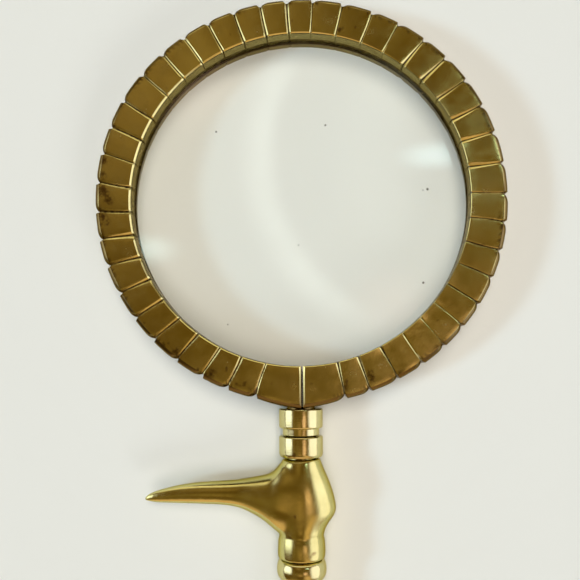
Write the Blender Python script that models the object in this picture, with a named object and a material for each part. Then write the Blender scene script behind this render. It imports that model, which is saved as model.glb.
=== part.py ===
"""A large brass hand lens: a fluted split ring, a biconvex lens and a turned and cast brass handle.

The lens lies flat. +Z is the optical axis, the handle runs towards -Y and the beak points towards -X.
Depths are measured from the ring's centre down the handle. Dimensions are in millimetres.
"""

import math

import bmesh
import bpy
from mathutils import Matrix, Vector

MM = 0.001

# Ring section
RING_INNER_R = 52.7
RING_OUTER_R = 64.0
RING_HALF = 7.5
BORE_EDGE = 0.7
SHOULDER = 1.5
SHOULDER_FALL = 0.8
CORNER = 0.25
CORNER_DROP = 1.4
SEAT_R = 54.5
SEAT_HALF = 2.3

# Widths of the hand-cut lobes in degrees, counter-clockwise from the split.
# The first and the last lobe are wide, and swell to meet the handle.
LOBE_WIDTHS = (
    (12.3, 7.0, 8.1, 8.1, 7.7, 7.0, 7.5, 7.9, 7.8, 8.1, 8.2)
    + (8.8, 9.0, 8.3, 8.7, 8.5, 8.2, 8.5, 8.3, 9.0, 8.7, 7.5)
    + (7.8, 8.0, 8.0, 8.2, 8.0, 8.3, 9.5, 8.3, 8.2, 8.5, 8.5)
    + (8.0, 8.0, 8.5, 8.2, 8.2, 8.4, 8.4, 7.8, 8.2, 11.8)
)
# How far the filed outline stands out beyond the ring's radius, every 30 degrees from the split
RIM_FULLNESS = (0.0, 0.0, 0.4, 0.1, 0.2, 0.4, 0.4, 0.6, 0.9, 0.2, -0.3, -0.4)
RIM_STEP = 30.0

LOBE_EDGE = 0.13
LOBE_EDGE_DROP = 0.25
WIDE_LOBE_EDGE = 0.09
WIDE_LOBE_STEPS = 5
SWELL = 1.6
FLUTE_FACE_DEPTH = 0.55
FLUTE_RIM_DEPTH = 1.2

# Saw cut through the ring and the tang below it
TANG_R = 4.3
TANG_ROOT = 58.0
TANG_TIP = 78.2
TANG_EDGE = 0.5
SPLIT_X = 0.6
SPLIT_HALF = 0.3
SPLIT_BEVEL = 0.6
SPLIT_TOP = 50.0
SPLIT_END = 80.0

# Lens
LENS_R = 54.2
LENS_EDGE_HALF = 1.7
LENS_SURFACE_R = 300.0
LENS_RINGS = 5

# Turned collars at the top of the handle, as (depth, radius)
COLLAR_BORE_R = 4.6
CLAMP_COLLAR = (
    (65.7, 6.4),
    (66.1, 6.75),
    (71.2, 6.75),
    (71.6, 6.4),
    (71.6, 5.6),
    (73.7, 5.6),
)
SOCKET_COLLAR = (
    (74.0, 6.45),
    (74.35, 6.75),
    (79.4, 6.75),
    (80.0, 6.5),
    (80.4, 6.0),
)

# Cast head, as (depth, half width, half thickness)
HEAD_BULB = (
    (78.6, 4.3, 4.3),
    (80.7, 4.3, 4.3),
    (80.7, 5.8, 5.8),
    (83.7, 6.9, 6.4),
    (86.6, 8.2, 6.9),
    (89.3, 9.2, 7.2),
    (92.0, 10.0, 7.3),
    (94.7, 10.5, 7.3),
    (96.4, 10.35, 7.3),
    (98.0, 9.5, 7.2),
    (99.6, 8.3, 7.1),
    (101.3, 7.3, 6.9),
    (103.0, 6.8, 6.75),
    (105.0, 6.75, 6.75),
    (109.7, 7.0, 7.0),
    (110.0, 6.7, 6.7),
)

# Beak, as (reach from the handle's axis, depth of upper edge, depth of lower edge, half thickness)
BEAK = (
    (48.6, 93.0, 93.6, 0.35),
    (47.0, 91.5, 94.0, 1.2),
    (43.7, 90.3, 94.2, 1.9),
    (37.3, 88.8, 94.3, 2.7),
    (31.0, 88.0, 94.4, 3.3),
    (24.3, 87.6, 94.6, 3.8),
    (19.3, 87.2, 95.3, 4.2),
    (15.5, 86.6, 96.7, 5.1),
    (12.0, 86.0, 98.6, 5.9),
    (9.8, 85.4, 100.3, 6.4),
    (8.4, 84.6, 101.4, 6.7),
    (7.0, 83.0, 102.5, 6.9),
    (5.0, 81.4, 103.0, 7.05),
    (2.0, 81.2, 103.0, 7.1),
    (0.0, 82.0, 102.0, 7.0),
)

# Lower handle, as (depth, radius)
NECK_RING = (
    (110.3, 6.6),
    (110.8, 7.1),
    (112.0, 7.42),
    (113.3, 7.5),
    (114.6, 7.3),
    (115.6, 6.7),
    (116.4, 5.9),
)
GRIP = (
    (116.7, 5.6),
    (118.0, 5.5),
    (119.5, 5.8),
    (121.0, 5.5),
    (126.0, 5.6),
    (134.0, 6.1),
    (144.0, 6.6),
    (154.0, 6.5),
    (162.0, 5.8),
    (167.0, 5.2),
    (168.5, 5.5),
    (170.0, 5.2),
)
END_RING = (
    (170.3, 5.7),
    (171.0, 6.5),
    (172.3, 7.0),
    (173.6, 7.0),
    (174.9, 6.5),
    (175.6, 5.7),
)
POMMEL = (
    (175.9, 4.6),
    (177.0, 4.4),
    (178.0, 5.0),
    (179.6, 6.5),
    (181.5, 7.3),
    (183.4, 7.5),
    (185.3, 7.2),
    (187.4, 6.3),
    (189.7, 4.6),
    (191.4, 2.6),
)

# Rod that ties the handle together
ROD_R = 2.5
ROD_TOP = 84.3
ROD_END = 184.0
ROD_EDGE = 0.4
ROD_BORE_R = 2.8
ROD_BORE_TOP = 84.0
ROD_BORE_END = 184.3

# Steps round each shape
LENS_STEPS = 72
TURNED_STEPS = 32
TANG_STEPS = 32
HEAD_STEPS = 32
ROD_STEPS = 20

# Metal and glass
OLD_BRASS = (0.36, 0.25, 0.07)
TURNED_BRASS = (0.62, 0.52, 0.25)
CAST_BRASS = (0.50, 0.42, 0.17)
STEEL = (0.45, 0.45, 0.44)
CLEAR_GLASS = (0.93, 0.97, 0.95)

# The origin is the middle of the object's footprint, on the surface that it lies on
RING_TOP = RING_OUTER_R + RIM_FULLNESS[len(RIM_FULLNESS) // 2]
RING_Y = (POMMEL[-1][0] - RING_TOP) / 2.0
AXIS_Z = RING_HALF


def clear_scene():
    for obj in list(bpy.data.objects):
        bpy.data.objects.remove(obj, do_unlink=True)


def surface(name, colour, roughness, metallic, alpha=1.0):
    made = bpy.data.materials.new(name)
    made.use_nodes = True
    shader = made.node_tree.nodes["Principled BSDF"]
    shader.inputs["Base Color"].default_value = (*colour, 1.0)
    shader.inputs["Roughness"].default_value = roughness
    shader.inputs["Metallic"].default_value = metallic
    shader.inputs["Alpha"].default_value = alpha
    return made


def brass(name, colour, roughness):
    return surface(name, colour, roughness, metallic=1.0)


def mesh_from(name, build):
    bm = bmesh.new()
    build(bm)
    bmesh.ops.recalc_face_normals(bm, faces=bm.faces)
    bmesh.ops.scale(bm, verts=bm.verts, vec=(MM, MM, MM))
    mesh = bpy.data.meshes.new(name)
    bm.to_mesh(mesh)
    bm.free()
    return mesh


def add_object(name, build, finish):
    """Makes a piece drawn about the ring's centre, so that its origin lies on the handle's axis."""
    mesh = mesh_from(name, build)
    mesh.materials.append(finish)
    for face in mesh.polygons:
        face.use_smooth = True
    obj = bpy.data.objects.new(name, mesh)
    obj.location = Vector((0.0, RING_Y, AXIS_Z)) * MM
    bpy.context.scene.collection.objects.link(obj)
    return obj


def add_tool(name, build):
    """Makes a shape that only takes part in a Boolean."""
    tool = bpy.data.objects.new(name, mesh_from(name, build))
    tool.location = Vector((0.0, RING_Y, AXIS_Z)) * MM
    tool.hide_render = True
    tool.display_type = "WIRE"
    bpy.context.scene.collection.objects.link(tool)
    return tool


def combine(obj, tool, operation):
    modifier = obj.modifiers.new(f"{operation.lower()} {tool.name}", "BOOLEAN")
    modifier.operation = operation
    modifier.solver = "EXACT"
    modifier.object = tool


def skin(bm, rows, closed):
    """Joins rows of vertices with faces. An open skin gets a cap at each end."""
    spans = len(rows) if closed else len(rows) - 1
    for index in range(spans):
        near = rows[index]
        far = rows[(index + 1) % len(rows)]
        for step in range(len(near)):
            after = (step + 1) % len(near)
            bm.faces.new((near[step], near[after], far[after], far[step]))
    if not closed:
        bm.faces.new(rows[0])
        bm.faces.new(rows[-1])


def spun(points, axis, steps):
    """Spins a chain of points. A chain that doesn't reach the axis is closed into a loop first."""

    def build(bm):
        chain = [bm.verts.new(point) for point in points]
        edges = [bm.edges.new(pair) for pair in zip(chain, chain[1:])]
        if all(point.x > 0.0 for point in points):
            edges.append(bm.edges.new((chain[-1], chain[0])))
        bmesh.ops.spin(
            bm,
            geom=chain + edges,
            axis=axis,
            cent=(0.0, 0.0, 0.0),
            steps=steps,
            angle=math.tau,
        )
        bmesh.ops.remove_doubles(bm, verts=bm.verts, dist=MM)

    return build


def turned(profile, steps=TURNED_STEPS):
    """Spins (depth, radius) pairs about the handle's axis."""
    points = [Vector((radius, -depth, 0.0)) for depth, radius in profile]
    return spun(points, (0.0, 1.0, 0.0), steps)


def bored(profile, bore_r):
    """The turned shape of an outline with a hole of one size right through it."""
    return turned((*profile, (profile[-1][0], bore_r), (profile[0][0], bore_r)))


def lobe_stations():
    """Gives (degrees from the split, share of the flute's depth, rise of the rim) once round the ring."""
    scale = 360.0 / sum(LOBE_WIDTHS)
    shares = [step / WIDE_LOBE_STEPS for step in range(WIDE_LOBE_STEPS + 1)]
    first = LOBE_WIDTHS[0] * scale
    last = LOBE_WIDTHS[-1] * scale
    level = 1.0 - WIDE_LOBE_EDGE
    stations = [(first * level * share, 0.0, SWELL * (1.0 - share)) for share in shares]
    start = first
    for width in LOBE_WIDTHS[1:-1]:
        pitch = width * scale
        stations.append((start, 1.0, 0.0))
        stations.append((start + LOBE_EDGE * pitch, 0.0, -LOBE_EDGE_DROP))
        stations.append((start + pitch / 2.0, 0.0, 0.0))
        stations.append((start + (1.0 - LOBE_EDGE) * pitch, 0.0, -LOBE_EDGE_DROP))
        start += pitch
    stations.append((360.0 - last, 1.0, 0.0))
    stations.extend((360.0 - last * level * share, 0.0, SWELL * (1.0 - share)) for share in reversed(shares[1:]))
    return stations


def rim_fullness(degrees):
    place = degrees / RIM_STEP
    index = int(place) % len(RIM_FULLNESS)
    after = (index + 1) % len(RIM_FULLNESS)
    share = place - int(place)
    return RIM_FULLNESS[index] * (1.0 - share) + RIM_FULLNESS[after] * share


def ring_section(flute, rise):
    """The ring's outline as (radius, height), with the lens seat on its inner side."""
    rim = RING_OUTER_R + rise - flute * FLUTE_RIM_DEPTH
    face = RING_HALF - flute * FLUTE_FACE_DEPTH
    upper = [
        (RING_INNER_R, SEAT_HALF),
        (RING_INNER_R, face - BORE_EDGE),
        (RING_INNER_R + BORE_EDGE, face),
        (rim - SHOULDER, face),
        (rim - CORNER, face - SHOULDER_FALL),
        (rim, face - CORNER_DROP),
    ]
    lower = [(radius, -height) for radius, height in reversed(upper)]
    return upper + lower + [(SEAT_R, -SEAT_HALF), (SEAT_R, SEAT_HALF)]


def fluted_ring(bm):
    rows = []
    for degrees, flute, rise in lobe_stations():
        turn = math.radians(degrees)
        outward = Vector((math.sin(turn), -math.cos(turn), 0.0))
        section = ring_section(flute, rise + rim_fullness(degrees))
        rows.append([bm.verts.new(outward * radius + Vector((0.0, 0.0, height))) for radius, height in section])
    skin(bm, rows, closed=True)


def saw_cut(bm):
    """A slot with bevelled edges on both faces of the ring."""
    past = RING_HALF + SPLIT_BEVEL
    waist = RING_HALF - SPLIT_BEVEL
    mouth = SPLIT_HALF + 2.0 * SPLIT_BEVEL
    outline = [
        (-mouth, past),
        (-SPLIT_HALF, waist),
        (-SPLIT_HALF, -waist),
        (-mouth, -past),
        (mouth, -past),
        (SPLIT_HALF, -waist),
        (SPLIT_HALF, waist),
        (mouth, past),
    ]
    rows = [
        [bm.verts.new((SPLIT_X + across, -depth, height)) for across, height in outline]
        for depth in (SPLIT_TOP, SPLIT_END)
    ]
    skin(bm, rows, closed=False)


def lens_frame():
    frame = add_object("lens_frame", fluted_ring, brass("aged_fluted_brass", OLD_BRASS, 0.3))
    tang = (
        (TANG_ROOT, 0.0),
        (TANG_ROOT, TANG_R),
        (TANG_TIP - TANG_EDGE, TANG_R),
        (TANG_TIP, TANG_R - TANG_EDGE),
        (TANG_TIP, 0.0),
    )
    combine(frame, add_tool("tang_stock", turned(tang, TANG_STEPS)), "UNION")
    combine(frame, add_tool("saw_cut", saw_cut), "DIFFERENCE")


def lens():
    edge_height = math.sqrt(LENS_SURFACE_R**2 - LENS_R**2)
    upper = []
    for ring in range(LENS_RINGS + 1):
        radius = LENS_R * ring / LENS_RINGS
        sag = math.sqrt(LENS_SURFACE_R**2 - radius**2) - edge_height
        upper.append(Vector((radius, 0.0, LENS_EDGE_HALF + sag)))
    lower = [Vector((point.x, 0.0, -point.z)) for point in reversed(upper)]
    glass = surface("clear_lens_glass", CLEAR_GLASS, 0.02, metallic=0.0, alpha=0.3)
    add_object("lens", spun(upper + lower, (0.0, 0.0, 1.0), LENS_STEPS), glass)


def ellipse(bm, centre, across, along):
    """One row of vertices round an ellipse with the two given half axes."""
    row = []
    for step in range(HEAD_STEPS):
        turn = math.tau * step / HEAD_STEPS
        row.append(bm.verts.new(centre + across * math.cos(turn) + along * math.sin(turn)))
    return row


def head_bulb(bm):
    rows = []
    for depth, half_width, half_thickness in HEAD_BULB:
        centre = Vector((0.0, -depth, 0.0))
        across = Vector((half_width, 0.0, 0.0))
        rows.append(ellipse(bm, centre, across, Vector((0.0, 0.0, half_thickness))))
    skin(bm, rows, closed=False)


def beak(bm):
    rows = []
    for reach, upper, lower, half_thickness in BEAK:
        centre = Vector((-reach, -(upper + lower) / 2.0, 0.0))
        across = Vector((0.0, (lower - upper) / 2.0, 0.0))
        rows.append(ellipse(bm, centre, across, Vector((0.0, 0.0, half_thickness))))
    skin(bm, rows, closed=False)


def beaked_head():
    head = add_object("beaked_head", head_bulb, brass("cast_head_brass", CAST_BRASS, 0.22))
    bore = (
        (ROD_BORE_TOP, 0.0),
        (ROD_BORE_TOP, ROD_BORE_R),
        (ROD_BORE_END, ROD_BORE_R),
        (ROD_BORE_END, 0.0),
    )
    combine(head, add_tool("beak_stock", beak), "UNION")
    combine(head, add_tool("rod_bore", turned(bore, ROD_STEPS)), "DIFFERENCE")


def collars():
    add_object("clamp_collar", bored(CLAMP_COLLAR, COLLAR_BORE_R), brass("clamp_collar_brass", TURNED_BRASS, 0.18))
    add_object("socket_collar", bored(SOCKET_COLLAR, COLLAR_BORE_R), brass("socket_collar_brass", TURNED_BRASS, 0.18))


def lower_handle():
    add_object("neck_ring", bored(NECK_RING, ROD_BORE_R), brass("neck_ring_brass", TURNED_BRASS, 0.18))
    add_object("grip", bored(GRIP, ROD_BORE_R), brass("grip_brass", CAST_BRASS, 0.22))
    add_object("end_ring", bored(END_RING, ROD_BORE_R), brass("end_ring_brass", TURNED_BRASS, 0.18))


def pommel():
    top = POMMEL[0][0]
    end = POMMEL[-1][0]
    socket = ((ROD_BORE_END, 0.0), (ROD_BORE_END, ROD_BORE_R), (top, ROD_BORE_R))
    add_object("pommel", turned((*socket, *POMMEL, (end, 0.0))), brass("pommel_brass", CAST_BRASS, 0.22))


def tie_rod():
    rod = (
        (ROD_TOP, 0.0),
        (ROD_TOP, ROD_R - ROD_EDGE),
        (ROD_TOP + ROD_EDGE, ROD_R),
        (ROD_END - ROD_EDGE, ROD_R),
        (ROD_END, ROD_R - ROD_EDGE),
        (ROD_END, 0.0),
    )
    add_object("tie_rod", turned(rod, ROD_STEPS), surface("rod_steel", STEEL, 0.35, metallic=1.0))


clear_scene()
lens_frame()
lens()
collars()
beaked_head()
lower_handle()
pommel()
tie_rod()
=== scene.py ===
"""Looks of a large brass hand lens that lies on a pale table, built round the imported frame.

Shapes are written in millimetres about the lens's centre: x to the right, y away from the handle,
z up. Depth is the distance from that centre towards the handle's end.
"""

import math
import random

import bmesh
import bpy
from mathutils import Matrix, Vector


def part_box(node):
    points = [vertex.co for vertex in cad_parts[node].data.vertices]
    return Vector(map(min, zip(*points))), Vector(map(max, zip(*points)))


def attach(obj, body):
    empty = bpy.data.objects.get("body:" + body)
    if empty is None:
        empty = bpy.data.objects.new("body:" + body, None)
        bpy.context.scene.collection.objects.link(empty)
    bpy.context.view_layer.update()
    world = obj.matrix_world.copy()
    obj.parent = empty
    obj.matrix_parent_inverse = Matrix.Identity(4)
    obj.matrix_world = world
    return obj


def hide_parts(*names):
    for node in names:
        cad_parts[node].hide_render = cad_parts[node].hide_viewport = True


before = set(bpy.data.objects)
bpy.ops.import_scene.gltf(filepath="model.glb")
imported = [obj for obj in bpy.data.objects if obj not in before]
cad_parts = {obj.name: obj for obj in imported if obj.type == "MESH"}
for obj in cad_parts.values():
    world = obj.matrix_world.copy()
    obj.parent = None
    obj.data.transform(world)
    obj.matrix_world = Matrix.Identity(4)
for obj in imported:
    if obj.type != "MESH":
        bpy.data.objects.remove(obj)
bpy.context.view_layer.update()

MM = 0.001

LENS_LO, LENS_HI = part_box("lens")
CENTRE = (LENS_LO + LENS_HI) / 2.0
RING_R = 64.0
RING_HALF = 7.5


# ---------------------------------------------------------------- mesh helpers

SHARP_DEG = 38.0
TURNED_STEPS = 144
OVAL_STEPS = 96
FILLET_STEPS = 4
FILLET_REACH = 0.45


def lerp(a, b, share):
    return a + (b - a) * share


def smoothstep(share):
    share = max(0.0, min(share, 1.0))
    return share * share * (3.0 - 2.0 * share)


def smooth_by_angle(obj, sharp_deg=SHARP_DEG):
    obj.data.shade_smooth()
    obj.data.set_sharp_from_angle(angle=math.radians(sharp_deg))


def finish_mesh(name, bm, body, sharp_deg=SHARP_DEG):
    """Makes an object in metres. It rides on the body, if one is named."""
    bmesh.ops.recalc_face_normals(bm, faces=bm.faces)
    for vert in bm.verts:
        vert.co = vert.co * MM + CENTRE
    mesh = bpy.data.meshes.new(name)
    bm.to_mesh(mesh)
    bm.free()
    obj = bpy.data.objects.new(name, mesh)
    smooth_by_angle(obj, sharp_deg)
    bpy.context.scene.collection.objects.link(obj)
    if body:
        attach(obj, body)
    return obj


def skin(bm, rows, closed):
    """Joins rows of equal length. The last joins the first if closed, or else the ends get caps."""
    spans = len(rows) if closed else len(rows) - 1
    for index in range(spans):
        near = rows[index]
        far = rows[(index + 1) % len(rows)]
        for step in range(len(near)):
            after = (step + 1) % len(near)
            bm.faces.new((near[step], near[after], far[after], far[step]))
    if not closed:
        bm.faces.new(rows[0])
        bm.faces.new(rows[-1])


def skin_rings(bm, rows, steps, closed):
    """Joins circles of points. A row may also be a single point, which the next row closes on."""
    spans = len(rows) if closed else len(rows) - 1
    for index in range(spans):
        near = rows[index]
        far = rows[(index + 1) % len(rows)]
        for step in range(steps):
            after = (step + 1) % steps
            corners = [(near, step), (near, after), (far, after), (far, step)]
            corners = [row[place % len(row)] for row, place in corners]
            bm.faces.new(list(dict.fromkeys(corners)))


def circle(bm, depth, radius, steps):
    """Points round the handle's axis, or the one point on it."""
    if radius == 0.0:
        return [bm.verts.new((0.0, -depth, 0.0))]
    row = []
    for step in range(steps):
        turn = math.tau * step / steps
        row.append(bm.verts.new((radius * math.cos(turn), -depth, radius * math.sin(turn))))
    return row


def oval(bm, centre, across, along, fullness=2.0):
    """An ellipse, or a fuller one with flatter sides where fullness is over 2."""
    row = []
    for step in range(OVAL_STEPS):
        turn = math.tau * step / OVAL_STEPS
        sides = (math.cos(turn), math.sin(turn))
        reach = [math.copysign(abs(value) ** (2.0 / fullness), value) for value in sides]
        row.append(bm.verts.new(centre + across * reach[0] + along * reach[1]))
    return row


def turned(name, body, profile, steps=TURNED_STEPS):
    """Spins (depth, radius) points about the handle's axis. Ends on the axis are closed."""
    bm = bmesh.new()
    rows = [circle(bm, depth, radius, steps) for depth, radius in profile]
    skin_rings(bm, rows, steps, closed=all(radius > 0.0 for _, radius in profile))
    return finish_mesh(name, bm, body)


def bake_modifiers(obj):
    graph = bpy.context.evaluated_depsgraph_get()
    baked = bpy.data.meshes.new_from_object(obj.evaluated_get(graph))
    obj.modifiers.clear()
    obj.data = baked


def apply_boolean(obj, tool, operation):
    """Combines two objects, then removes the tool."""
    modifier = obj.modifiers.new("cut", "BOOLEAN")
    modifier.operation = operation
    modifier.solver = "EXACT"
    modifier.object = tool
    bake_modifiers(obj)
    bpy.data.objects.remove(tool, do_unlink=True)


def fillet(points, radius):
    """Rounds the corners of an open chain of (depth, radius) points."""
    out = [points[0]]
    for before, corner, after in zip(points, points[1:], points[2:]):
        here = Vector(corner)
        back = Vector(before) - here
        ahead = Vector(after) - here
        cut = min(radius, back.length * FILLET_REACH, ahead.length * FILLET_REACH)
        start = here + back.normalized() * cut
        end = here + ahead.normalized() * cut
        for step in range(FILLET_STEPS + 1):
            share = step / FILLET_STEPS
            curve = start * (1 - share) ** 2 + here * 2 * share * (1 - share) + end * share**2
            out.append((curve.x, curve.y))
    out.append(points[-1])
    return out


def catmull(a, b, c, d, t):
    linear = c - a
    square = 2 * a - 5 * b + 4 * c - d
    cube = 3 * b - a - 3 * c + d
    return 0.5 * (2 * b + linear * t + square * t**2 + cube * t**3)


def smooth_curve(points, per_span):
    """A Catmull-Rom curve through tuples of numbers."""
    out = []
    for index in range(len(points) - 1):
        a = points[max(index - 1, 0)]
        b = points[index]
        c = points[index + 1]
        d = points[min(index + 2, len(points) - 1)]
        for step in range(per_span):
            t = step / per_span
            out.append(tuple(catmull(*four, t) for four in zip(a, b, c, d)))
    out.append(tuple(points[-1]))
    return out


# ---------------------------------------------------------------- fluted ring

INNER_R = 52.7
SEAT_R = 54.5
SEAT_HALF = 2.3
RING_SHARP_DEG = 32.0

# Places on the ring's section: the lens seat, the bore's wall, its rounded edge from EDGE_PLACE
# to 0, the face from 0 to 1, and the shoulder from 1 to 2.
SEAT_PLACE = -2.0
BORE_PLACE = -1.0
EDGE_PLACE = -0.5
BORE_HEIGHTS = (SEAT_HALF, 3.1, 3.5, 5.0, 6.3)
EDGE_STEPS = 6
EDGE_FLATNESS = 0.7
FACE_STEPS = 9
# How far the bore's edge is worn back: the mean, the change round the ring, and height for reach.
EDGE_WEAR = 0.37
EDGE_WEAR_CHANGE = 0.2
EDGE_WEAR_HEIGHT = 1.1
# The shoulder: reach from the ring's outline, drop below the face, and the angle it faces.
SHOULDER = (
    (1.55, 0.0, 0.0),
    (1.45, 0.012, 11.0),
    (1.32, 0.05, 22.0),
    (1.14, 0.14, 30.0),
    (0.90, 0.29, 34.0),
    (0.66, 0.46, 38.0),
    (0.43, 0.66, 45.0),
    (0.23, 0.91, 57.0),
    (0.08, 1.25, 71.0),
    (0.01, 1.65, 84.0),
    (0.0, 2.3, 90.0),
)
FACE_OUTER_R = RING_R - SHOULDER[0][0]

# Widths of the lobes in degrees, counter-clockwise from the split. They were cut by hand, so no
# two are quite the same.
LOBE_WIDTHS = (
    (12.3, 7.0, 8.1, 8.1, 7.7, 7.0, 7.5, 7.9, 7.8, 8.1, 8.2)
    + (8.8, 9.0, 8.3, 8.7, 8.5, 8.2, 8.5, 8.3, 9.0, 8.7, 7.5)
    + (7.8, 8.0, 8.0, 8.2, 8.0, 8.3, 9.5, 8.3, 8.2, 8.5, 8.5)
    + (8.0, 8.0, 8.5, 8.2, 8.2, 8.4, 8.4, 7.8, 8.2, 11.8)
)
LOBE_CROWN = 0.1
LOBE_TILT = 0.012
LOBE_DROP = 0.05
LOBE_MID_R = 57.5
# A lobe's crown and tilt fade in this fast over the face, and out over the shoulder.
LOBE_RISE = 5.0
# The wide lobes beside the split swell out: how far, over what share of the lobe, and how fast.
SWELL = 1.5
SWELL_REACH = 0.92
SWELL_POWER = 0.9
# How far the filed outline stands out beyond the ring's radius, at equal steps from the split.
RIM_FULLNESS = (0.0, 0.0, 0.4, 0.1, 0.2, 0.4, 0.4, 0.6, 0.9, 0.2, -0.3, -0.4)
RIM_STEP = 30.0

# How the grooves change round the ring. From this angle on: width at the bore, share of it left
# at the rim, lean, dirt.
GROOVE_ZONES = (
    (0.0, 1.45, 0.4, -0.1, 0.5),
    (31.0, 0.8, 0.6, 0.3, 0.1),
    (54.0, 0.7, 0.9, 0.0, 0.8),
    (94.0, 1.8, 0.45, 0.1, 0.2),
    (146.0, 0.8, 0.9, 0.0, 0.2),
    (179.0, 1.35, 0.85, 0.1, 0.35),
    (219.0, 1.2, 0.8, 0.5, 0.25),
    (236.0, 1.3, 0.8, 1.0, 0.4),
    (260.0, 1.2, 0.8, 1.0, 0.7),
    (282.0, 1.9, 0.6, 0.9, 0.2),
    (318.0, 1.4, 0.7, 0.9, 0.4),
    (344.0, 0.8, 0.8, 1.0, 0.4),
)
# How much single grooves differ: factors for width, taper, depth and notch, and millimetres
# either way for lean and bow.
WIDTH_SPREAD = (0.8, 1.2)
TAPER_SPREAD = (0.8, 1.15)
STEEP_SPREAD = (0.85, 1.2)
NOTCH_SPREAD = (0.8, 1.2)
LEAN_SPREAD = (-0.25, 0.25)
BOW_SPREAD = (-0.15, 0.15)
GROOVE_STEEPNESS = 0.56
GROOVE_LEAST_DEPTH = 0.05
GROOVE_TAPER_POWER = 0.8
GOUGE_POWER = 1.4
# Grooves end this fast down the bore's edge.
BORE_RUN_OUT = 1.15
# At the rim a groove turns into a notch with one steep side and one long rounded one.
NOTCH = 1.5
NOTCH_START = 0.86
NOTCH_SPAN = 0.9
NOTCH_LONG_SIDE = 2.9
# The steep side is blunter on the ring's upper left.
BLUNT_FROM, BLUNT_TO = 179.0, 236.0
BLUNT_SIDE = 1.1
SHARP_SIDE = (0.5, 0.8)

# Where stations stand round a groove, in millimetres at STATION_R: on both sides, then more
# before it and after it. STATION_DEG apart elsewhere.
STATION_R = 58.0
STATIONS = (0.06, 0.14, 0.22, 0.32, 0.42, 0.55, 0.7, 0.9)
STATIONS_BEFORE = (1.2, 1.5, 1.9, 2.3, 2.7)
STATIONS_AFTER = (1.3, 1.8)
STATION_DEG = 0.9
ANGLE_DIGITS = 4

# Old stains on the lobes, and near the rim from 322 to 347 degrees a painted dark reflection:
# angle, radius, spread.
STAINS_AND_DARK_REFLECTIONS = (
    (12.5, 60.6, 1.5),
    (20.5, 60.4, 1.4),
    (21.0, 58.6, 1.2),
    (83.0, 61.4, 1.3),
    (259.0, 62.3, 1.8),
    (263.5, 61.9, 1.5),
    (268.0, 61.2, 2.3),
    (271.0, 59.2, 1.6),
    (275.5, 61.6, 1.9),
    (278.0, 60.2, 1.1),
    # Painted dark reflection near the rim:
    (322.0, 61.5, 1.6),
    (334.0, 61.3, 1.8),
    (347.0, 62.0, 2.0),
)
# Dirt: the start and span of each smooth step, how much a groove's own dirt counts, the
# corner of the notch, and the seam round the lens, whose darkening is painted shadow of the gap.
DIRT_STEP = (0.8, 0.3)
DIRT_GAIN = 0.65
NOTCH_PLACE_STEP = (0.72, 0.3)
NOTCH_SHAPE_STEP = (0.08, 0.25)
SEAM_SHADE_DROP = 4.2
DIRT_AND_SHADE_REACH = 1.0
# Tarnish: where the flanks start, and the bore's share of it.
TARNISH_STEP = (0.005, 0.12)
BORE_TARNISH = 0.7
FACE_INNER_R = INNER_R + 0.5
BORE_WALL_R = INNER_R + 0.02
LEAST_PLACE = -0.3

SPLIT_X = 0.6
SPLIT_HALF = 0.3
SPLIT_BEVEL = 0.6
SPLIT_BEVEL_DROP = 0.42
SPLIT_DEPTHS = (50.0, 80.0)
TANG_R = 4.25
TANG_ROOT = 60.0
TANG_TIP = 78.2
TANG_STEPS = 64
# The tang's chamfer: distance from the tip, and how much smaller the radius is there.
TANG_CHAMFER = ((0.45, 0.35), (0.0, 0.8))
THREAD_PITCH = 1.0
THREAD_DEPTH = 0.32
THREAD_START = 66.5
THREAD_END = TANG_TIP - 0.5
THREAD_ROWS = 8.0

SEED = 41
rng = random.Random(SEED)


def make_grooves():
    """One groove between each pair of lobes, in degrees from the split."""
    whole = sum(LOBE_WIDTHS)
    grooves = []
    at = 0.0
    for lobe in LOBE_WIDTHS[:-1]:
        at += lobe * 360.0 / whole
        _, width, taper, lean, dirt = [zone for zone in GROOVE_ZONES if zone[0] <= at][-1]
        grooves.append(
            {
                "at": at,
                "half": width / 2.0 * rng.uniform(*WIDTH_SPREAD),
                "taper": taper * rng.uniform(*TAPER_SPREAD),
                "steep": GROOVE_STEEPNESS * rng.uniform(*STEEP_SPREAD),
                "lean": lean + rng.uniform(*LEAN_SPREAD),
                "bow": rng.uniform(*BOW_SPREAD),
                "notch": rng.uniform(*NOTCH_SPREAD),
                "dirt": dirt,
                "side": BLUNT_SIDE if BLUNT_FROM < at < BLUNT_TO else rng.uniform(*SHARP_SIDE),
            }
        )
    return grooves


def make_tilts():
    """How each lobe's face is tilted across and outwards, and how far it lies below the others."""
    tilts = []
    for _ in LOBE_WIDTHS:
        across = rng.uniform(-LOBE_TILT, LOBE_TILT)
        out = rng.uniform(-LOBE_TILT, LOBE_TILT)
        tilts.append((across, out, rng.uniform(0.0, LOBE_DROP)))
    return tilts


GROOVES = make_grooves()
TILTS = make_tilts()


def ring_section():
    """(radius, height, outward normal, place) up the bore, over the face and down the shoulder."""
    out = [(0.0, height, (-1.0, 0.0), BORE_PLACE) for height in BORE_HEIGHTS]
    for step in range(EDGE_STEPS + 1):
        flat = step / EDGE_STEPS
        turn = math.pi / 2 * step / EDGE_STEPS
        rise = lerp(math.sin(turn), flat, EDGE_FLATNESS) - 1
        reach = (lerp(1 - math.cos(turn), flat, EDGE_FLATNESS), rise)
        place = EDGE_PLACE - EDGE_PLACE * step / EDGE_STEPS
        out.append((reach, RING_HALF, (-math.cos(turn), math.sin(turn)), place))
    for step in range(1, FACE_STEPS):
        out.append((step / FACE_STEPS, RING_HALF, (0.0, 1.0), step / FACE_STEPS))
    for index, (reach, drop, facing) in enumerate(SHOULDER):
        turn = math.radians(facing)
        place = 1.0 + index / (len(SHOULDER) - 1)
        out.append((RING_R - reach, RING_HALF - drop, (math.sin(turn), math.cos(turn)), place))
    return out


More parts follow.
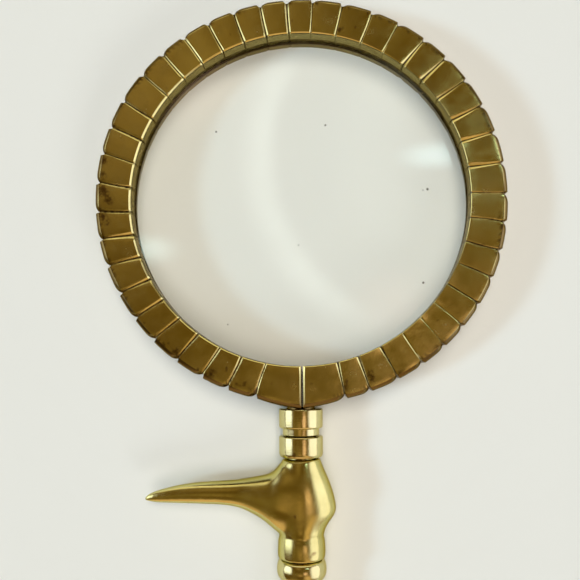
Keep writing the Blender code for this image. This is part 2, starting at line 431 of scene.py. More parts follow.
def section_at(degrees):
    """The whole section here. The bore's edge is worn rounder on one side of the ring."""
    wear = EDGE_WEAR - EDGE_WEAR_CHANGE * math.sin(math.radians(degrees))
    upper = []
    for radius, height, facing, place in ring_section():
        if place == BORE_PLACE:
            radius = INNER_R
        elif place <= 0.0:
            height = RING_HALF + EDGE_WEAR_HEIGHT * wear * radius[1]
            radius = INNER_R + wear * radius[0]
        elif place < 1.0:
            radius = lerp(INNER_R + wear, FACE_OUTER_R, place)
        upper.append((radius, height, facing, place))
    lower = []
    for radius, height, (normal_r, normal_z), place in reversed(upper):
        lower.append((radius, -height, (normal_r, -normal_z), place))
    middle = [(RING_R, 0.0, (1.0, 0.0), 2.0)]
    seat = [(SEAT_R, height, (0.0, 0.0), SEAT_PLACE) for height in (-SEAT_HALF, SEAT_HALF)]
    return upper + middle + lower + seat


def nearest_groove(degrees):
    return min(GROOVES, key=lambda groove: abs(groove["at"] - degrees))


def groove_cut(degrees, radius, place):
    """How far into the nearest groove this point lies, 0 to 1, and how deep the cut is there."""
    groove = nearest_groove(degrees)
    along = max(0.0, min(place, 1.0))
    offset = groove["lean"] * (0.5 - along) + groove["bow"] * math.sin(math.pi * along)
    across = math.radians(degrees - groove["at"]) * radius - offset
    half = groove["half"] * lerp(1.0, groove["taper"], along**GROOVE_TAPER_POWER)
    rim = smoothstep((place - NOTCH_START) / NOTCH_SPAN)
    width = lerp(half, groove["side"] if across > 0.0 else NOTCH_LONG_SIDE, rim)
    share = max(0.0, 1.0 - abs(across) / width)
    gouge = 1.0 - (1.0 - share) ** GOUGE_POWER
    if across > 0.0:
        notch = share
    else:
        notch = 1.0 - math.sqrt(max(0.0, 1.0 - share**2))
    shape = lerp(gouge, notch, rim)
    depth = lerp(groove["steep"] * half + GROOVE_LEAST_DEPTH, NOTCH * groove["notch"], rim)
    if place < 0.0:
        depth *= max(0.0, 1.0 + place * BORE_RUN_OUT)
    return shape, shape * depth


def pillow(degrees, radius):
    """How much a lobe's face falls away from flat here: a faint crown and a tilt of its own."""
    lobe = sum(groove["at"] < degrees for groove in GROOVES)
    low = GROOVES[lobe - 1]["at"] if lobe > 0 else 0.0
    high = GROOVES[lobe]["at"] if lobe < len(GROOVES) else 360.0
    across = math.radians(degrees - (low + high) / 2.0) * radius
    half = math.radians(high - low) / 2.0 * radius
    tilt_across, tilt_out, drop = TILTS[lobe]
    crown = LOBE_CROWN * (across / half) ** 2
    return crown - tilt_across * across - tilt_out * (radius - LOBE_MID_R) + drop


def swell_at(degrees):
    """The wide lobes stand out to meet the handle."""
    from_split = min(degrees, 360.0 - degrees)
    return SWELL * max(0.0, 1.0 - from_split / (LOBE_WIDTHS[0] * SWELL_REACH)) ** SWELL_POWER


def fullness_at(degrees):
    place = degrees / RIM_STEP
    index = int(place) % len(RIM_FULLNESS)
    after = (index + 1) % len(RIM_FULLNESS)
    return lerp(RIM_FULLNESS[index], RIM_FULLNESS[after], place - int(place))


def ring_angles():
    """Stations round the ring, close together at the grooves."""
    before = (*STATIONS, *STATIONS_BEFORE)
    offsets = (0.0, *STATIONS, *STATIONS_AFTER, *(-offset for offset in before))
    angles = {0.0}
    for groove in GROOVES:
        for offset in offsets:
            angles.add(round(groove["at"] + math.degrees(offset / STATION_R), ANGLE_DIGITS))
    bounds = [0.0] + [groove["at"] for groove in GROOVES] + [360.0]
    for low, high in zip(bounds, bounds[1:]):
        first = low + math.degrees(STATIONS_AFTER[-1] / STATION_R) if low else 0.0
        last = high - math.degrees(STATIONS_BEFORE[-1] / STATION_R) if high < 360.0 else 360.0
        steps = max(2, round((last - first) / STATION_DEG))
        for step in range(1, steps):
            angles.add(round(lerp(first, last, step / steps), ANGLE_DIGITS))
    return sorted(angle for angle in angles if 0.0 <= angle < 360.0)


def build_ring():
    bm = bmesh.new()
    rows = []
    for degrees in ring_angles():
        turn = math.radians(degrees)
        outward = Vector((math.sin(turn), -math.cos(turn), 0.0))
        swell = swell_at(degrees) + fullness_at(degrees)
        row = []
        for radius, height, (normal_r, normal_z), place in section_at(degrees):
            if place > SEAT_PLACE:
                shape, cut = groove_cut(degrees, radius, place)
                fall = 0.0
                if place >= 0.0:
                    share = min(1.0, place * LOBE_RISE) * max(0.0, 1.0 - max(0.0, place - 1.0))
                    fall = max(0.0, pillow(degrees, radius)) * share * (1.0 - shape)
                radius -= normal_r * cut
                height -= normal_z * cut + math.copysign(fall, height) * abs(normal_z)
                if place > 0.0:
                    radius += swell * min(1.0, place)
            row.append(bm.verts.new(outward * radius + Vector((0.0, 0.0, height))))
        rows.append(row)
    skin(bm, rows, closed=True)
    return finish_mesh("fluted_ring", bm, "framed_lens")


def build_tang():
    """The screw thread below the ring, as one solid stub."""
    bm = bmesh.new()
    rows = []
    depth = TANG_ROOT
    while depth < THREAD_END:
        row = []
        for step in range(TANG_STEPS):
            share = step / TANG_STEPS
            phase = (depth / THREAD_PITCH + share) % 1.0
            cut = THREAD_DEPTH * abs(2.0 * phase - 1.0) if depth > THREAD_START else 0.0
            radius = TANG_R - cut
            turn = math.tau * share
            row.append(bm.verts.new((radius * math.cos(turn), -depth, radius * math.sin(turn))))
        rows.append(row)
        depth += THREAD_PITCH / THREAD_ROWS
    for from_tip, less in TANG_CHAMFER:
        rows.append(circle(bm, TANG_TIP - from_tip, TANG_R - less, TANG_STEPS))
    skin(bm, rows, closed=False)
    return finish_mesh("tang_tool", bm, None)


def build_saw_cut():
    """The cut through ring and tang, which opens into a bevel at both faces of the ring."""
    past = RING_HALF + SPLIT_BEVEL_DROP
    waist = RING_HALF - SPLIT_BEVEL_DROP
    mouth = SPLIT_HALF + 2.0 * SPLIT_BEVEL
    outline = [
        (-mouth, past),
        (-SPLIT_HALF, waist),
        (-SPLIT_HALF, -waist),
        (-mouth, -past),
        (mouth, -past),
        (SPLIT_HALF, -waist),
        (SPLIT_HALF, waist),
        (mouth, past),
    ]
    bm = bmesh.new()
    rows = [[bm.verts.new((SPLIT_X + x, -depth, z)) for x, z in outline] for depth in SPLIT_DEPTHS]
    skin(bm, rows, closed=False)
    return finish_mesh("saw_tool", bm, None)


def stain_and_dark_reflection_at(degrees, radius, mark_degrees, mark_radius, spread):
    across = math.radians(degrees - mark_degrees) * radius
    return math.exp(-(across**2 + (radius - mark_radius) ** 2) / spread**2)


def mark_wear(obj):
    """Stores where dirt fills the grooves and painted shadow darkens the seam round the lens, where
    flanks are tarnished, and where faces are stained or carry a painted dark reflection.
    """
    attributes = obj.data.attributes
    names = ("groove", "side", "stain_and_dark_reflection")
    for name in names:
        attributes.new(name, "FLOAT", "POINT")
    dirt_and_seam_shades, tarnishes, stains_and_dark_reflections = [attributes[name].data for name in names]
    for index, vert in enumerate(obj.data.vertices):
        spot = (vert.co - CENTRE) / MM
        radius = math.hypot(spot.x, spot.y)
        degrees = math.degrees(math.atan2(spot.x, -spot.y)) % 360.0
        plain = radius - swell_at(degrees) - fullness_at(degrees)
        drop = max(RING_HALF - abs(spot.z), 0.0)
        on_bore = radius < BORE_WALL_R
        place = (plain - FACE_INNER_R) / (FACE_OUTER_R - FACE_INNER_R)
        if place > 1.0:
            place = 1.0 + min(1.0, drop / SHOULDER[-1][1])
        shape, _ = groove_cut(degrees, radius, max(place, LEAST_PLACE))
        own_dirt = DIRT_GAIN * nearest_groove(degrees)["dirt"]
        dirt = smoothstep((shape - DIRT_STEP[0] + own_dirt) / DIRT_STEP[1])
        notch = smoothstep((place - NOTCH_PLACE_STEP[0]) / NOTCH_PLACE_STEP[1])
        notch *= smoothstep((shape - NOTCH_SHAPE_STEP[0]) / NOTCH_SHAPE_STEP[1])
        # Painted shadow: the bore darkens in a band where the gap at the glass's edge is shaded.
        seam_shade = 1.0 if on_bore and drop > SEAM_SHADE_DROP else 0.0
        dirt_and_seam_shades[index].value = max(dirt, notch, seam_shade) if radius < RING_R + DIRT_AND_SHADE_REACH else 0.0
        tarnish = 0.0
        if plain > FACE_OUTER_R or on_bore:
            tarnish = smoothstep((drop - TARNISH_STEP[0]) / TARNISH_STEP[1])
        tarnishes[index].value = tarnish * BORE_TARNISH if on_bore else tarnish
        stains_and_dark_reflections[index].value = min(1.0, sum(stain_and_dark_reflection_at(degrees, plain, *stain_and_dark_reflection) for stain_and_dark_reflection in STAINS_AND_DARK_REFLECTIONS))


def lens_frame():
    ring = build_ring()
    apply_boolean(ring, build_tang(), "UNION")
    apply_boolean(ring, build_saw_cut(), "DIFFERENCE")
    mark_wear(ring)
    smooth_by_angle(ring, RING_SHARP_DEG)
    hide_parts("lens_frame")
    ring.data.materials.clear()
    ring.data.materials.append(fluted_brass())


# ---------------------------------------------------------------- lens

LENS_R = 54.2
LENS_EDGE_HALF = 1.7
LENS_SURFACE_R = 300.0
LENS_RINGS = 30
LENS_STEPS = 240
LENS_SHARP_DEG = 30.0


def flat_circle(bm, radius, height):
    """Points round the lens's axis, or the one point on it."""
    if radius == 0.0:
        return [bm.verts.new((0.0, 0.0, height))]
    row = []
    for step in range(LENS_STEPS):
        turn = math.tau * step / LENS_STEPS
        row.append(bm.verts.new((radius * math.cos(turn), radius * math.sin(turn), height)))
    return row


def lens():
    edge = math.sqrt(LENS_SURFACE_R**2 - LENS_R**2)
    upper = []
    for ring in range(LENS_RINGS + 1):
        radius = LENS_R * ring / LENS_RINGS
        upper.append((radius, LENS_EDGE_HALF + math.sqrt(LENS_SURFACE_R**2 - radius**2) - edge))
    lower = [(radius, -height) for radius, height in reversed(upper)]
    bm = bmesh.new()
    rows = [flat_circle(bm, radius, height) for radius, height in upper + lower]
    skin_rings(bm, rows, LENS_STEPS, closed=False)
    glass = finish_mesh("lens_glass", bm, "framed_lens", LENS_SHARP_DEG)
    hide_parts("lens")
    glass.visible_shadow = False
    glass.visible_diffuse = False
    glass.data.materials.append(clear_glass())


# ---------------------------------------------------------------- handle

BORE = 4.6
ROD_BORE = 2.8

# Outlines are (depth, radius).
CLAMP_OUTLINE = (
    (65.7, 5.0),
    (65.7, 6.5),
    (66.0, 6.75),
    (71.15, 6.75),
    (71.6, 6.35),
    (71.6, 5.6),
    (73.7, 5.6),
    (73.7, 4.9),
)
SOCKET_OUTLINE = (
    (74.0, 5.0),
    (74.0, 6.5),
    (74.3, 6.75),
    (79.3, 6.75),
    (80.1, 6.45),
    (80.4, 5.7),
    (80.4, 5.0),
)
COLLAR_ROUNDING = 0.22


def collars():
    made = (("clamp_collar", "clamp", CLAMP_OUTLINE), ("socket_collar", "handle", SOCKET_OUTLINE))
    for name, body, outline in made:
        profile = [*fillet(outline, COLLAR_ROUNDING), (outline[-1][0], BORE), (outline[0][0], BORE)]
        piece = turned(f"{name}_turned", body, profile)
        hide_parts(name)
        piece.data.materials.append(turned_brass())


# The head's bulb and neck: depth, half width, half thickness.
HEAD_BULB = (
    (80.7, 5.75, 5.75),
    (83.7, 6.9, 6.4),
    (86.6, 8.2, 6.9),
    (89.3, 9.2, 7.2),
    (92.0, 10.0, 7.3),
    (94.7, 10.5, 7.3),
    (96.4, 10.35, 7.3),
    (98.0, 9.5, 7.2),
    (99.6, 8.3, 7.1),
    (101.3, 7.35, 6.95),
    (102.5, 7.0, 6.85),
    (103.2, 6.75, 6.7),
    (103.8, 6.8, 6.8),
    (104.8, 7.05, 7.05),
    (107.0, 7.2, 7.2),
    (109.5, 7.15, 7.15),
)
HEAD_TOP = (80.7, 5.3, 5.3)
HEAD_FOOT = ((109.85, 7.0, 7.0), (110.0, 6.7, 6.7), (110.0, 6.0, 6.0))
# The beak: reach to the left, depth of its upper and its lower edge, half thickness.
BEAK = (
    (48.6, 93.0, 93.6, 0.3),
    (48.0, 92.2, 93.8, 0.8),
    (46.8, 91.4, 94.0, 1.25),
    (43.7, 90.3, 94.2, 1.9),
    (37.3, 88.8, 94.3, 2.7),
    (31.0, 88.0, 94.4, 3.3),
    (24.3, 87.6, 94.6, 3.8),
    (19.3, 87.2, 95.3, 4.2),
    (15.5, 86.6, 96.7, 5.1),
    (12.0, 86.0, 98.6, 5.9),
    (9.8, 85.4, 100.3, 6.4),
    (8.4, 84.6, 101.4, 6.7),
    (7.0, 83.0, 102.5, 6.9),
    (5.0, 81.4, 103.0, 7.05),
    (2.0, 81.2, 103.0, 7.1),
    (0.0, 82.0, 102.0, 7.0),
)
BEAK_FULLNESS = 2.6
HEAD_SPAN_STEPS = 5
HEAD_VOXEL = 0.3
HEAD_SHARP_DEG = 45.0
# The cast joint of beak and bulb is smoothed from BLEND_X leftwards and from BLEND_Y upwards, over
# these spans. The rest gets only the least share.
BLEND_X, BLEND_X_SPAN = 4.0, 6.0
BLEND_Y, BLEND_Y_SPAN = -103.0, 2.5
BLEND_LEAST = 0.12
BLEND_FACTOR = 0.8
BLEND_ROUNDS = 30
# The plug that centres the head in the socket collar, and the hole for the tie rod.
HEAD_PLUG = ((78.6, 0.0), (78.6, 4.0), (78.9, 4.3), (82.0, 4.3), (82.0, 0.0))
HEAD_BORE = ((84.0, 0.0), (84.0, ROD_BORE), (112.0, ROD_BORE), (112.0, 0.0))
HEAD_PLUG_STEPS = 96
HEAD_BORE_STEPS = 48


def build_bulb():
    outline = (HEAD_TOP, *smooth_curve(HEAD_BULB, HEAD_SPAN_STEPS), *HEAD_FOOT)
    bm = bmesh.new()
    rows = []
    for depth, width, thickness in outline:
        across = Vector((width, 0, 0))
        rows.append(oval(bm, Vector((0, -depth, 0)), across, Vector((0, 0, thickness))))
    skin(bm, rows, closed=False)
    return finish_mesh("beaked_head_cast", bm, "handle")


def build_beak():
    bm = bmesh.new()
    rows = []
    for reach, upper, lower, thickness in smooth_curve(BEAK, HEAD_SPAN_STEPS):
        centre = Vector((-reach, -(upper + lower) / 2.0, 0))
        height = Vector((0, (lower - upper) / 2.0, 0))
        rows.append(oval(bm, centre, height, Vector((0, 0, thickness)), BEAK_FULLNESS))
    skin(bm, rows, closed=False)
    return finish_mesh("beak_tool", bm, None)


def blend_beak(head):
    """Evens out the mesh, then rounds the inner corner where the beak leaves the bulb."""
    remesh = head.modifiers.new("even", "REMESH")
    remesh.mode = "VOXEL"
    remesh.voxel_size = HEAD_VOXEL * MM
    bake_modifiers(head)
    blended = head.vertex_groups.new(name="blended")
    for index, vert in enumerate(head.data.vertices):
        spot = (vert.co - CENTRE) / MM
        share = smoothstep((BLEND_X - spot.x) / BLEND_X_SPAN)
        share *= smoothstep((spot.y - BLEND_Y) / BLEND_Y_SPAN)
        blended.add([index], lerp(BLEND_LEAST, 1.0, share), "REPLACE")
    relax = head.modifiers.new("blend", "CORRECTIVE_SMOOTH")
    relax.use_only_smooth = True
    relax.vertex_group = blended.name
    relax.factor = BLEND_FACTOR
    relax.iterations = BLEND_ROUNDS
    bake_modifiers(head)


def beaked_head():
    head = build_bulb()
    apply_boolean(head, build_beak(), "UNION")
    blend_beak(head)
    apply_boolean(head, turned("plug_tool", None, HEAD_PLUG, HEAD_PLUG_STEPS), "UNION")
    apply_boolean(head, turned("bore_tool", None, HEAD_BORE, HEAD_BORE_STEPS), "DIFFERENCE")
    smooth_by_angle(head, HEAD_SHARP_DEG)
    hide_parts("beaked_head")
    head.data.materials.clear()
    head.data.materials.append(cast_brass())


NECK_RING = (
    (110.3, 6.4),
    (110.9, 7.05),
    (112.0, 7.4),
    (113.3, 7.5),
    (114.6, 7.3),
    (115.6, 6.7),
    (116.4, 5.9),
)
GRIP = (
    (116.7, 5.6),
    (118.0, 5.5),
    (119.5, 5.8),
    (121.0, 5.5),
    (126.0, 5.6),
    (134.0, 6.1),
    (144.0, 6.6),
    (154.0, 6.5),
    (162.0, 5.8),
    (167.0, 5.2),
    (168.5, 5.5),
    (170.0, 5.2),
)
END_RING = ((170.3, 5.7), (171.0, 6.5), (172.3, 7.0), (173.6, 7.0), (174.9, 6.5), (175.6, 5.7))
POMMEL = (
    (175.9, 4.6),
    (177.0, 4.4),
    (178.0, 5.0),
    (179.6, 6.5),
    (181.5, 7.3),
    (183.4, 7.5),
    (185.3, 7.2),
    (187.4, 6.3),
    (189.7, 4.6),
    (191.4, 2.6),
)
POMMEL_BORE_END = 184.3
HANDLE_SPAN_STEPS = 8


def lower_handle():
    rings = (
        ("neck_ring", NECK_RING, "turned_collar_brass", turned_brass()),
        ("grip", GRIP, "cast_head_brass", cast_brass()),
        ("end_ring", END_RING, "turned_collar_brass", turned_brass()),
    )
    for name, outline, slot, finish in rings:
        curve = smooth_curve(outline, HANDLE_SPAN_STEPS)
        hole = [(curve[-1][0], ROD_BORE), (curve[0][0], ROD_BORE)]
        piece = turned(f"{name}_turned", "handle", [*curve, *hole])
        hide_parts(name)
        piece.data.materials.append(finish)
    curve = smooth_curve(POMMEL, HANDLE_SPAN_STEPS)
    socket = [(POMMEL_BORE_END, 0.0), (POMMEL_BORE_END, ROD_BORE), (curve[0][0], ROD_BORE)]
    piece = turned("pommel_turned", "handle", [*socket, *curve, (curve[-1][0], 0.0)])
    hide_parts("pommel")
    piece.data.materials.append(cast_brass())


# ---------------------------------------------------------------- node helpers

BLACK = (0.0, 0.0, 0.0)
WHITE = (1.0, 1.0, 1.0)


def new_material(name):
    made = bpy.data.materials.new(name)
    made.use_nodes = True
    tree = made.node_tree
    return made, tree, tree.nodes["Principled BSDF"]


def node(tree, kind, **inputs):
    made = tree.nodes.new(kind)
    for key, value in inputs.items():
        made.inputs[key.replace("_", " ")].default_value = value
    return made


def feed(tree, socket, value):
    """Links a socket to a node's output, or gives it a value or a colour."""
    if isinstance(value, bpy.types.NodeSocket):
        tree.links.new(value, socket)
    elif isinstance(value, float):
        socket.default_value = value
    else:
        socket.default_value = (*value, 1.0)


def mix(tree, share, first, second):
    made = tree.nodes.new("ShaderNodeMix")
    made.data_type = "RGBA"
    feed(tree, made.inputs["Factor"], share)
    feed(tree, made.inputs["A"], first)
    feed(tree, made.inputs["B"], second)
    return made.outputs[2]


def math_node(tree, operation, *values):
    made = tree.nodes.new("ShaderNodeMath")
    made.operation = operation
    for socket, value in zip(made.inputs, values):
        feed(tree, socket, value)
    return made.outputs["Value"]


def product(tree, first, *others):
    for other in others:
        first = math_node(tree, "MULTIPLY", first, other)
    return first


def vector_node(tree, operation, first, second):
    """The second vector may be a plain one."""
    made = tree.nodes.new("ShaderNodeVectorMath")
    made.operation = operation
    tree.links.new(first, made.inputs[0])
    if isinstance(second, bpy.types.NodeSocket):
        tree.links.new(second, made.inputs[1])
    else:
        made.inputs[1].default_value = second
    return made


def fade(tree, value, start, end):
    """0 up to start, 1 from end on, and smooth between. It also runs downwards."""
    made = tree.nodes.new("ShaderNodeMapRange")
    made.interpolation_type = "SMOOTHSTEP"
    made.inputs["From Min"].default_value = start
    made.inputs["From Max"].default_value = end
    tree.links.new(value, made.inputs["Value"])
    return made.outputs["Result"]


def object_coordinates(tree):
    return tree.nodes.new("ShaderNodeTexCoord").outputs["Object"]


def noise_at(tree, coords, scale, detail, rough):
    made = node(tree, "ShaderNodeTexNoise", Scale=scale, Detail=detail, Roughness=rough)
    tree.links.new(coords, made.inputs["Vector"])
    return made.outputs["Fac"]


def noise(tree, scale, detail, rough, stretch=None):
    coords = object_coordinates(tree)
    if stretch:
        mapping = tree.nodes.new("ShaderNodeMapping")
        mapping.inputs["Scale"].default_value = stretch
        tree.links.new(coords, mapping.inputs["Vector"])
        coords = mapping.outputs["Vector"]
    return noise_at(tree, coords, scale, detail, rough)


def patches(tree, pattern, edge, low=0.0, high=1.0):
    """Cloudy patches from a noise pattern. They go from low to high across the edge."""
    made = tree.nodes.new("ShaderNodeValToRGB")
    for element, place, grey in zip(made.color_ramp.elements, edge, (low, high)):
        element.position = place
        element.color = (grey, grey, grey, 1.0)
    tree.links.new(noise(tree, *pattern), made.inputs["Fac"])
    return made.outputs["Color"]


def bump(tree, pattern, strength, distance, before=None):
    made = node(tree, "ShaderNodeBump", Strength=strength, Distance=distance)
    tree.links.new(noise(tree, *pattern), made.inputs["Height"])
    if before:
        tree.links.new(before, made.inputs["Normal"])
    return made.outputs["Normal"]


def stored(tree, name):
    made = tree.nodes.new("ShaderNodeAttribute")
    made.attribute_name = name
    return made.outputs["Fac"]


def distance_from(tree, x, y):
    """Distance in millimetres from an upright line near the lens's centre."""
    level = vector_node(tree, "MULTIPLY", object_coordinates(tree), (1.0 / MM, 1.0 / MM, 0.0))
    line = (x + CENTRE.x / MM, y + CENTRE.y / MM, 0.0)
    return vector_node(tree, "DISTANCE", level.outputs["Vector"], line).outputs["Value"]


# ---------------------------------------------------------------- materials

# Noise patterns: scale, detail, roughness, and the stretch of its space where it has one.
PATINA = (70.0, 4.0, 0.55)
SPOTS = (260.0, 2.0, 0.4)
SPECKLES = (1500.0, 2.0, 0.5)
MOTTLING = (700.0, 3.0, 0.6)
DIRT_AND_SHADE_CLUMPS = (900.0, 2.0, 0.5)
POLISH = (220.0, 4.0, 0.65)
DENTS = (320.0, 3.0, 0.5)
GRAIN = (2600.0, 2.0, 0.5)
LATHE_LINES = (900.0, 2.0, 0.5, (0.02, 3.0, 0.02))
GLOW_CLOUDS = (45.0, 2.0, 0.55)
STEEL_CLOUDS = (400.0, 3.0, 0.55)
STEEL_LINES = (900.0, 3.0, 0.5, (0.05, 2.0, 0.05))
TABLE_CLOUDS = (6.0, 4.0, 0.55)
TABLE_GRAIN = (900.0, 3.0, 0.55)
CEILING_CLOUDS = (3.0, 1.0, 0.5)

# Where a pattern's patches begin and where they are full.
PATINA_EDGE = (0.38, 0.68)
SPOT_EDGE = (0.71, 0.79)
SPECKLE_EDGE = (0.72, 0.80)
MOTTLING_EDGE = (0.35, 0.6)
DIRT_AND_SHADE_EDGE = (0.35, 0.6)
POLISH_EDGE = (0.3, 0.75)
STEEL_EDGE = (0.3, 0.7)
GLOW_CLOUD_EDGE = (0.2, 0.8)
CEILING_EDGE = (0.35, 0.7)

# Bumps: strength, and height in metres.
DENT_BUMP = (0.10, 0.0004)
GRAIN_BUMP = (0.10, 0.00008)
LATHE_BUMP = (0.18, 0.00006)
TABLE_BUMP = (0.05, 0.0003)

SPOT_SHARE = 0.8
# How far roughness wanders about its value.
ROUGH_LOW, ROUGH_HIGH = 0.7, 1.5
STAIN_AND_DARK_REFLECTION_COLOUR = (0.16, 0.10, 0.035)
STAIN_AND_DARK_REFLECTION_BASE = 0.45
STAIN_AND_DARK_REFLECTION_EDGE = (0.15, 1.5)
TARNISH_COLOUR = (0.13, 0.085, 0.03)
TARNISH_RIM = (0.4, 0.3, 0.14)
TARNISH_SHARE = 0.93
DIRT_AND_SEAM_SHADE_COLOUR = (0.07, 0.045, 0.015)
DIRT_AND_SHADE_LEAST = 0.55

GLASS_TINT = (0.985, 1.0, 0.975)
GLASS_IOR = 1.52
DUST_COLOUR = (0.10, 0.09, 0.07)
DUST_SCALE = 85.0
DUST_SIZE = (0.025, 0.045)
# Painted light: the glass glows with this colour and strength in soft arcs.
PAINTED_GLOW_COLOUR = (0.92, 1.0, 0.93, 1.0)
PAINTED_GLOW_STRENGTH = 0.055
# The painted glow arcs run round this point. Each pair is where they fade in or out, in millimetres
# from it.
PAINTED_GLOW_CENTRE = (49.6, 15.1)
GLOW_ARC_IN, GLOW_ARC_OUT = (54.5, 61.5), (72.0, 61.0)
BROAD_GLOW_IN, BROAD_GLOW_OUT = (12.0, 26.0), (46.0, 32.0)
BROAD_GLOW_SHARE = 0.2
# The sharp arc also fades out towards the rim, round a point of its own.
GLOW_ARC_MIDDLE = (-6.0, 0.0)
GLOW_ARC_RIM = (54.0, 36.0)
# Both are cloudy: a base, and what the clouds add.
CLOUDY_BASE, CLOUDY_SHARE = 0.6, 0.5

STEEL_COLOURS = (0.50, 0.50, 0.49), (0.34, 0.33, 0.32)
STEEL_ROUGHNESS = (0.28, 0.45)
TABLE_COLOURS = (0.86, 0.855, 0.83), (0.83, 0.825, 0.80)
TABLE_ROUGHNESS = 0.7


def brass(name, bright, dull, spot, roughness, rim_tint=WHITE, turning=False, groove=False):
    """Old polished brass: cloudy patina, small dark spots and hairline wear.

    Rim tint colours the reflections at grazing angles. Groove adds what mark_wear stored.
    """
    made, tree, shader = new_material(name)
    shader.inputs["Metallic"].default_value = 1.0
    shader.inputs["Specular Tint"].default_value = (*rim_tint, 1.0)
    colour = mix(tree, patches(tree, PATINA, PATINA_EDGE), bright, dull)
    colour = mix(tree, patches(tree, SPOTS, SPOT_EDGE, high=SPOT_SHARE), colour, spot)
    colour = mix(tree, patches(tree, SPECKLES, SPECKLE_EDGE, high=SPOT_SHARE), colour, spot)
    if groove:
        # Stains, and near the rim from 322 to 347 degrees a painted dark reflection.
        mottled = math_node(tree, "ADD", patches(tree, MOTTLING, MOTTLING_EDGE), STAIN_AND_DARK_REFLECTION_BASE)
        stain_and_dark_reflection = fade(tree, product(tree, stored(tree, "stain_and_dark_reflection"), mottled), *STAIN_AND_DARK_REFLECTION_EDGE)
        colour = mix(tree, stain_and_dark_reflection, colour, STAIN_AND_DARK_REFLECTION_COLOUR)
        flank = product(tree, stored(tree, "side"), TARNISH_SHARE)
        colour = mix(tree, flank, colour, TARNISH_COLOUR)
        tree.links.new(mix(tree, flank, WHITE, TARNISH_RIM), shader.inputs["Specular Tint"])
        # Dirt in the grooves and notches, and painted shadow in the seam round the lens.
        packed = patches(tree, DIRT_AND_SHADE_CLUMPS, DIRT_AND_SHADE_EDGE, low=DIRT_AND_SHADE_LEAST)
        colour = mix(tree, product(tree, stored(tree, "groove"), packed), colour, DIRT_AND_SEAM_SHADE_COLOUR)
    tree.links.new(colour, shader.inputs["Base Color"])
    rough = patches(tree, POLISH, POLISH_EDGE, roughness * ROUGH_LOW, roughness * ROUGH_HIGH)
    tree.links.new(rough, shader.inputs["Roughness"])
    normal = bump(tree, DENTS, *DENT_BUMP)
    normal = bump(tree, GRAIN, *GRAIN_BUMP, normal)
    if turning:
        normal = bump(tree, LATHE_LINES, *LATHE_BUMP, normal)
    tree.links.new(normal, shader.inputs["Normal"])
    return made


def fluted_brass():
    return brass(
        "aged_fluted_brass",
        bright=(0.68, 0.62, 0.25),
        dull=(0.58, 0.51, 0.19),
        spot=(0.20, 0.13, 0.05),
        roughness=0.2,
        groove=True,
    )


def turned_brass():
    return brass(
        "turned_collar_brass",
        bright=(0.68, 0.62, 0.30),
        dull=(0.60, 0.54, 0.24),
        spot=(0.26, 0.18, 0.07),
        roughness=0.13,
        rim_tint=(0.75, 0.7, 0.5),
        turning=True,
    )


def cast_brass():
    return brass(
        "cast_head_brass",
        bright=(0.67, 0.62, 0.25),
        dull=(0.57, 0.515, 0.19),
        spot=(0.24, 0.16, 0.06),
        roughness=0.18,
        rim_tint=(0.50, 0.42, 0.20),
    )


def painted_glow_arcs(tree):
    """Painted light on the glass: a sharp curved arc of glow, and a broad faint one inside it."""
    away = distance_from(tree, *PAINTED_GLOW_CENTRE)
    rim = fade(tree, distance_from(tree, *GLOW_ARC_MIDDLE), *GLOW_ARC_RIM)
    glow_arc = product(tree, fade(tree, away, *GLOW_ARC_IN), fade(tree, away, *GLOW_ARC_OUT), rim)
    broad_glow = product(tree, fade(tree, away, *BROAD_GLOW_IN), fade(tree, away, *BROAD_GLOW_OUT), BROAD_GLOW_SHARE)
    total = math_node(tree, "ADD", glow_arc, broad_glow)
    clouds = fade(tree, noise(tree, *GLOW_CLOUDS), *GLOW_CLOUD_EDGE)
    cloudy = math_node(tree, "ADD", product(tree, clouds, CLOUDY_SHARE), CLOUDY_BASE)
    return product(tree, total, cloudy)


def clear_glass():
    """Faintly green glass with dust specks, and painted light that glows faintly from it in soft
    arcs.
    """
    made, tree, shader = new_material("clear_lens_glass")
    specks = node(tree, "ShaderNodeTexVoronoi", Scale=DUST_SCALE)
    tree.links.new(object_coordinates(tree), specks.inputs["Vector"])
    dust = fade(tree, specks.outputs["Distance"], *DUST_SIZE)
    tree.links.new(mix(tree, dust, DUST_COLOUR, GLASS_TINT), shader.inputs["Base Color"])
    shader.inputs["Roughness"].default_value = 0.0
    shader.inputs["IOR"].default_value = GLASS_IOR
    shader.inputs["Transmission Weight"].default_value = 1.0
    shader.inputs["Emission Color"].default_value = PAINTED_GLOW_COLOUR
    # Painted light: emission in soft arcs over the glass.
    painted_glow = product(tree, painted_glow_arcs(tree), PAINTED_GLOW_STRENGTH)
    tree.links.new(painted_glow, shader.inputs["Emission Strength"])
    return made


def rod_steel():
    made, tree, shader = new_material("rod_steel")
    shader.inputs["Metallic"].default_value = 1.0
    colour = mix(tree, noise(tree, *STEEL_CLOUDS), *STEEL_COLOURS)
    tree.links.new(colour, shader.inputs["Base Color"])
    rough = patches(tree, STEEL_LINES, STEEL_EDGE, *STEEL_ROUGHNESS)
    tree.links.new(rough, shader.inputs["Roughness"])
    return made


def table_paper():
    made, tree, shader = new_material("pale_table")
    colour = mix(tree, noise(tree, *TABLE_CLOUDS), *TABLE_COLOURS)
    tree.links.new(colour, shader.inputs["Base Color"])
    shader.inputs["Roughness"].default_value = TABLE_ROUGHNESS
    tree.links.new(bump(tree, TABLE_GRAIN, *TABLE_BUMP), shader.inputs["Normal"])
    return made


# ---------------------------------------------------------------- surroundings

# Metres. The table lies just below the part, so that the two faces don't coincide.
TABLE_HALF = 3.0
TABLE_GAP = 0.0001

